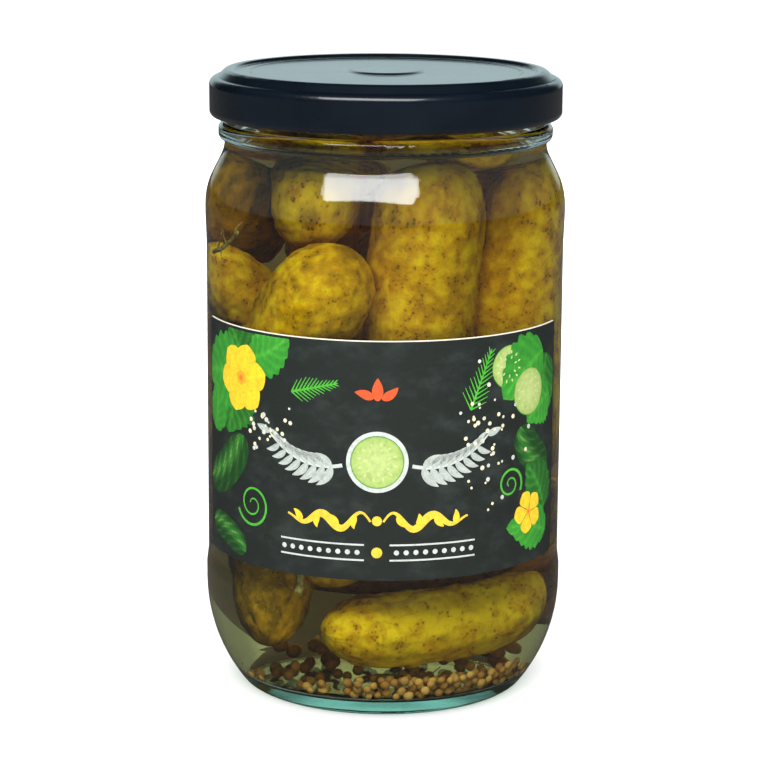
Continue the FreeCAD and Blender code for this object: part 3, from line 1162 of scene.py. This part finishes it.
def print_finish():
    """Inks of the print, a little uneven, as on coated paper."""
    finish = Finish("label_inks")
    place = finish.place()
    inks = finish.stored("ink")
    mottle = finish.grain(place, 0.8, 4.0, 0.65)
    fine = finish.grain(place, 2.6, 3.0, 0.6)
    worn = finish.mix(mottle.ramp(0.35, 0.8) * 0.32, inks, (0.02, 0.03, 0.01))
    return finish.close(finish.surface({
        "Base Color": worn,
        "Roughness": 0.40 + fine * 0.14,
        "Normal": finish.bump(fine, 0.02 * MM, 0.5)}))


class JAR_OT_artwork(bpy.types.Operator):
    """Lay the print over the label"""

    bl_idname = "jar.artwork"
    bl_label = "Print on the label"

    def execute(self, context):
        sheet = Sheet()
        draw_garden(sheet, random.Random(3))
        draw_middle(sheet)
        middle = math.radians(context.scene.jar_label.turn)
        edge = context.scene.jar_label.reach / 2 / MM - SIDE_MARGIN
        high = (LABEL_HIGH.z - LABEL_LOW.z) / MM - TOP_MARGIN
        face = LABEL_RADIUS / MM
        wrapped = []
        for u, v, lift in sheet.points:
            angle = middle + min(max(u, -edge), edge) / face
            reach = (face + lift) * MM
            height = LABEL_LOW.z + min(max(v, FOOT_MARGIN), high) * MM
            wrapped.append((reach * math.sin(angle), -reach * math.cos(angle), height))
        piece = make_piece("label_artwork", wrapped, sheet.faces, print_finish())
        store_colour(piece, "ink", np.array(sheet.inks))
        return {"FINISHED"}


# ---- Stage ----

JAR_MIDDLE = (0, 0, 0.5 * GLASS_HIGH.z)
# Each lamp, in metres and watts: where it stands, what it looks at, its width and height, its
# power, and whether it shows in mirrors and through glass.
LAMPS = {
    "key": ((-0.12, -0.55, 0.75), JAR_MIDDLE, 0.86, 0.40, 7.5, True),
    "fill": ((0.12, -0.80, 0.05), (0, 0, 0.03), 0.60, 0.30, 3.6, False),
    "back": ((0.35, 0.95, 0.45), JAR_MIDDLE, 0.90, 0.60, 9.0, False),
}
FLOOR_SIDE = 4.0
# What the rays that don't come from the camera meet: a dim room, and a bright backdrop in it.
ROOM_IN_MIRRORS, BACKDROP_IN_MIRRORS = 0.01, 0.84
ROOM_IN_GLASS, BACKDROP_IN_GLASS = 0.45, 0.45
SKY_LOW, SKY_TOP = 0.30, 0.95
MIRROR_TINT = (0.74, 0.96, 1.0)


def make_camera(sizes):
    """The camera, looking down on the jar from in front."""
    data = bpy.data.cameras.new("camera")
    data.sensor_width = 36.0
    data.lens = sizes.lens
    camera = bpy.data.objects.new("camera", data)
    forward = Vector((0, math.cos(sizes.pitch), -math.sin(sizes.pitch)))
    right = Vector((1, 0, 0))
    up = right.cross(forward)
    lean = Matrix.Rotation(-sizes.roll, 3, forward)
    across, upward = lean @ right, lean @ up
    turn = Matrix((across, upward, -forward)).transposed().to_4x4()
    camera.matrix_world = Matrix.Translation((0, -sizes.distance, sizes.height)) @ turn
    bpy.context.scene.collection.objects.link(camera)
    bpy.context.scene.camera = camera


def make_lamp(name, place, aim, width, height, power, mirrored):
    """A soft rectangular lamp."""
    data = bpy.data.lights.new(name, "AREA")
    data.shape = "RECTANGLE"
    data.size = width
    data.size_y = height
    data.energy = power
    lamp = bpy.data.objects.new(name, data)
    lamp.location = place
    lamp.rotation_euler = (Vector(aim) - Vector(place)).to_track_quat("-Z", "Y").to_euler()
    lamp.visible_glossy = mirrored
    lamp.visible_transmission = mirrored
    bpy.context.scene.collection.objects.link(lamp)


def make_floor():
    """A wide floor: white and shadowed to the camera, and a grey table to the rest."""
    mesh = bpy.data.meshes.new("floor")
    corners = [(FLOOR_SIDE * x, FLOOR_SIDE * y, 0) for x, y in ((-1, -1), (1, -1), (1, 1), (-1, 1))]
    mesh.from_pydata(corners, [], [(0, 1, 2, 3)])
    finish = Finish("studio_floor")
    place = finish.place()
    tone = finish.grain(place, 0.01, 2.0)
    seen = finish.light_path("Is Camera Ray")
    mirrored = finish.light_path("Is Glossy Ray")
    pale = finish.mix(tone, (0.90, 0.90, 0.90), (0.93, 0.93, 0.93))
    table = finish.mix(mirrored, (0.80, 0.79, 0.74), (0.06, 0.06, 0.06))
    plain = finish.surface({
        "Base Color": finish.mix(seen, table, pale),
        "Roughness": 0.9,
        "Specular IOR Level": 0.0})
    mesh.materials.append(finish.close(plain))
    floor = bpy.data.objects.new("floor", mesh)
    bpy.context.scene.collection.objects.link(floor)


def make_world():
    """White to the camera, even light from above, and a dim room with a bright backdrop."""
    sky = Finish("studio", "worlds")
    bpy.context.scene.world = sky.owner
    direction = sky.add("ShaderNodeTexCoord", {}, {}, "Generated")
    _, behind, height = sky.parts(direction)
    backdrop = behind.ramp(0.84, 0.95)
    seen = sky.light_path("Is Camera Ray")
    soft = sky.light_path("Is Diffuse Ray")
    through = sky.light_path("Is Transmission Ray")
    mirrored = sky.light_path("Is Glossy Ray")
    mirror = ROOM_IN_MIRRORS + backdrop * BACKDROP_IN_MIRRORS
    clear = ROOM_IN_GLASS + backdrop * BACKDROP_IN_GLASS
    ambient = SKY_LOW + height.ramp(0.0, 0.7) * SKY_TOP
    room = through * clear + (1 - through) * mirror
    strength = seen + (1 - seen) * (soft * ambient + (1 - soft) * room)
    colour = sky.mix(mirrored, WHITE, MIRROR_TINT)
    light = sky.add("ShaderNodeBackground", {}, {"Color": colour, "Strength": strength})
    sky.add("ShaderNodeOutputWorld", {}, {"Surface": light})


class JAR_OT_stage(bpy.types.Operator):
    """Set the floor, the light and the camera"""

    bl_idname = "jar.stage"
    bl_label = "Stage"

    def execute(self, context):
        make_camera(context.scene.jar_stage)
        make_floor()
        make_world()
        for name, lamp in LAMPS.items():
            make_lamp(name, *lamp)
        context.scene.view_settings.view_transform = "Standard"
        context.scene.cycles.caustics_refractive = False
        context.scene.cycles.caustics_reflective = False
        return {"FINISHED"}


# ---- Panel ----

OPERATORS = (JAR_OT_glass, JAR_OT_brine, JAR_OT_pickles, JAR_OT_seeds, JAR_OT_dill,
             JAR_OT_lid, JAR_OT_label, JAR_OT_artwork, JAR_OT_stage)


class JAR_PT_pieces(bpy.types.Panel):
    """Pieces of the jar and their sizes"""

    bl_idname = "JAR_PT_pieces"
    bl_label = "Pickle jar"
    bl_space_type = "VIEW_3D"
    bl_region_type = "UI"
    bl_category = "Pickle jar"

    def draw(self, context):
        for operator in OPERATORS:
            self.layout.operator(operator.bl_idname)
        for group, kind in GROUPS.items():
            box = self.layout.box()
            box.label(text=kind.__doc__)
            for name in kind.__annotations__:
                box.prop(getattr(context.scene, group), name)


CLASSES = tuple(GROUPS.values()) + OPERATORS + (JAR_PT_pieces,)


def register():
    """Add the classes and their settings."""
    for kind in CLASSES:
        bpy.utils.register_class(kind)
    for group, kind in GROUPS.items():
        setattr(bpy.types.Scene, group, bpy.props.PointerProperty(type=kind))


def unregister():
    """Take the classes and their settings away."""
    for group in GROUPS:
        delattr(bpy.types.Scene, group)
    for kind in reversed(CLASSES):
        bpy.utils.unregister_class(kind)


def main():
    """Build every piece in order."""
    register()
    for operator in OPERATORS:
        category, name = operator.bl_idname.split(".")
        getattr(getattr(bpy.ops, category), name)()


if __name__ == "__main__":
    main()
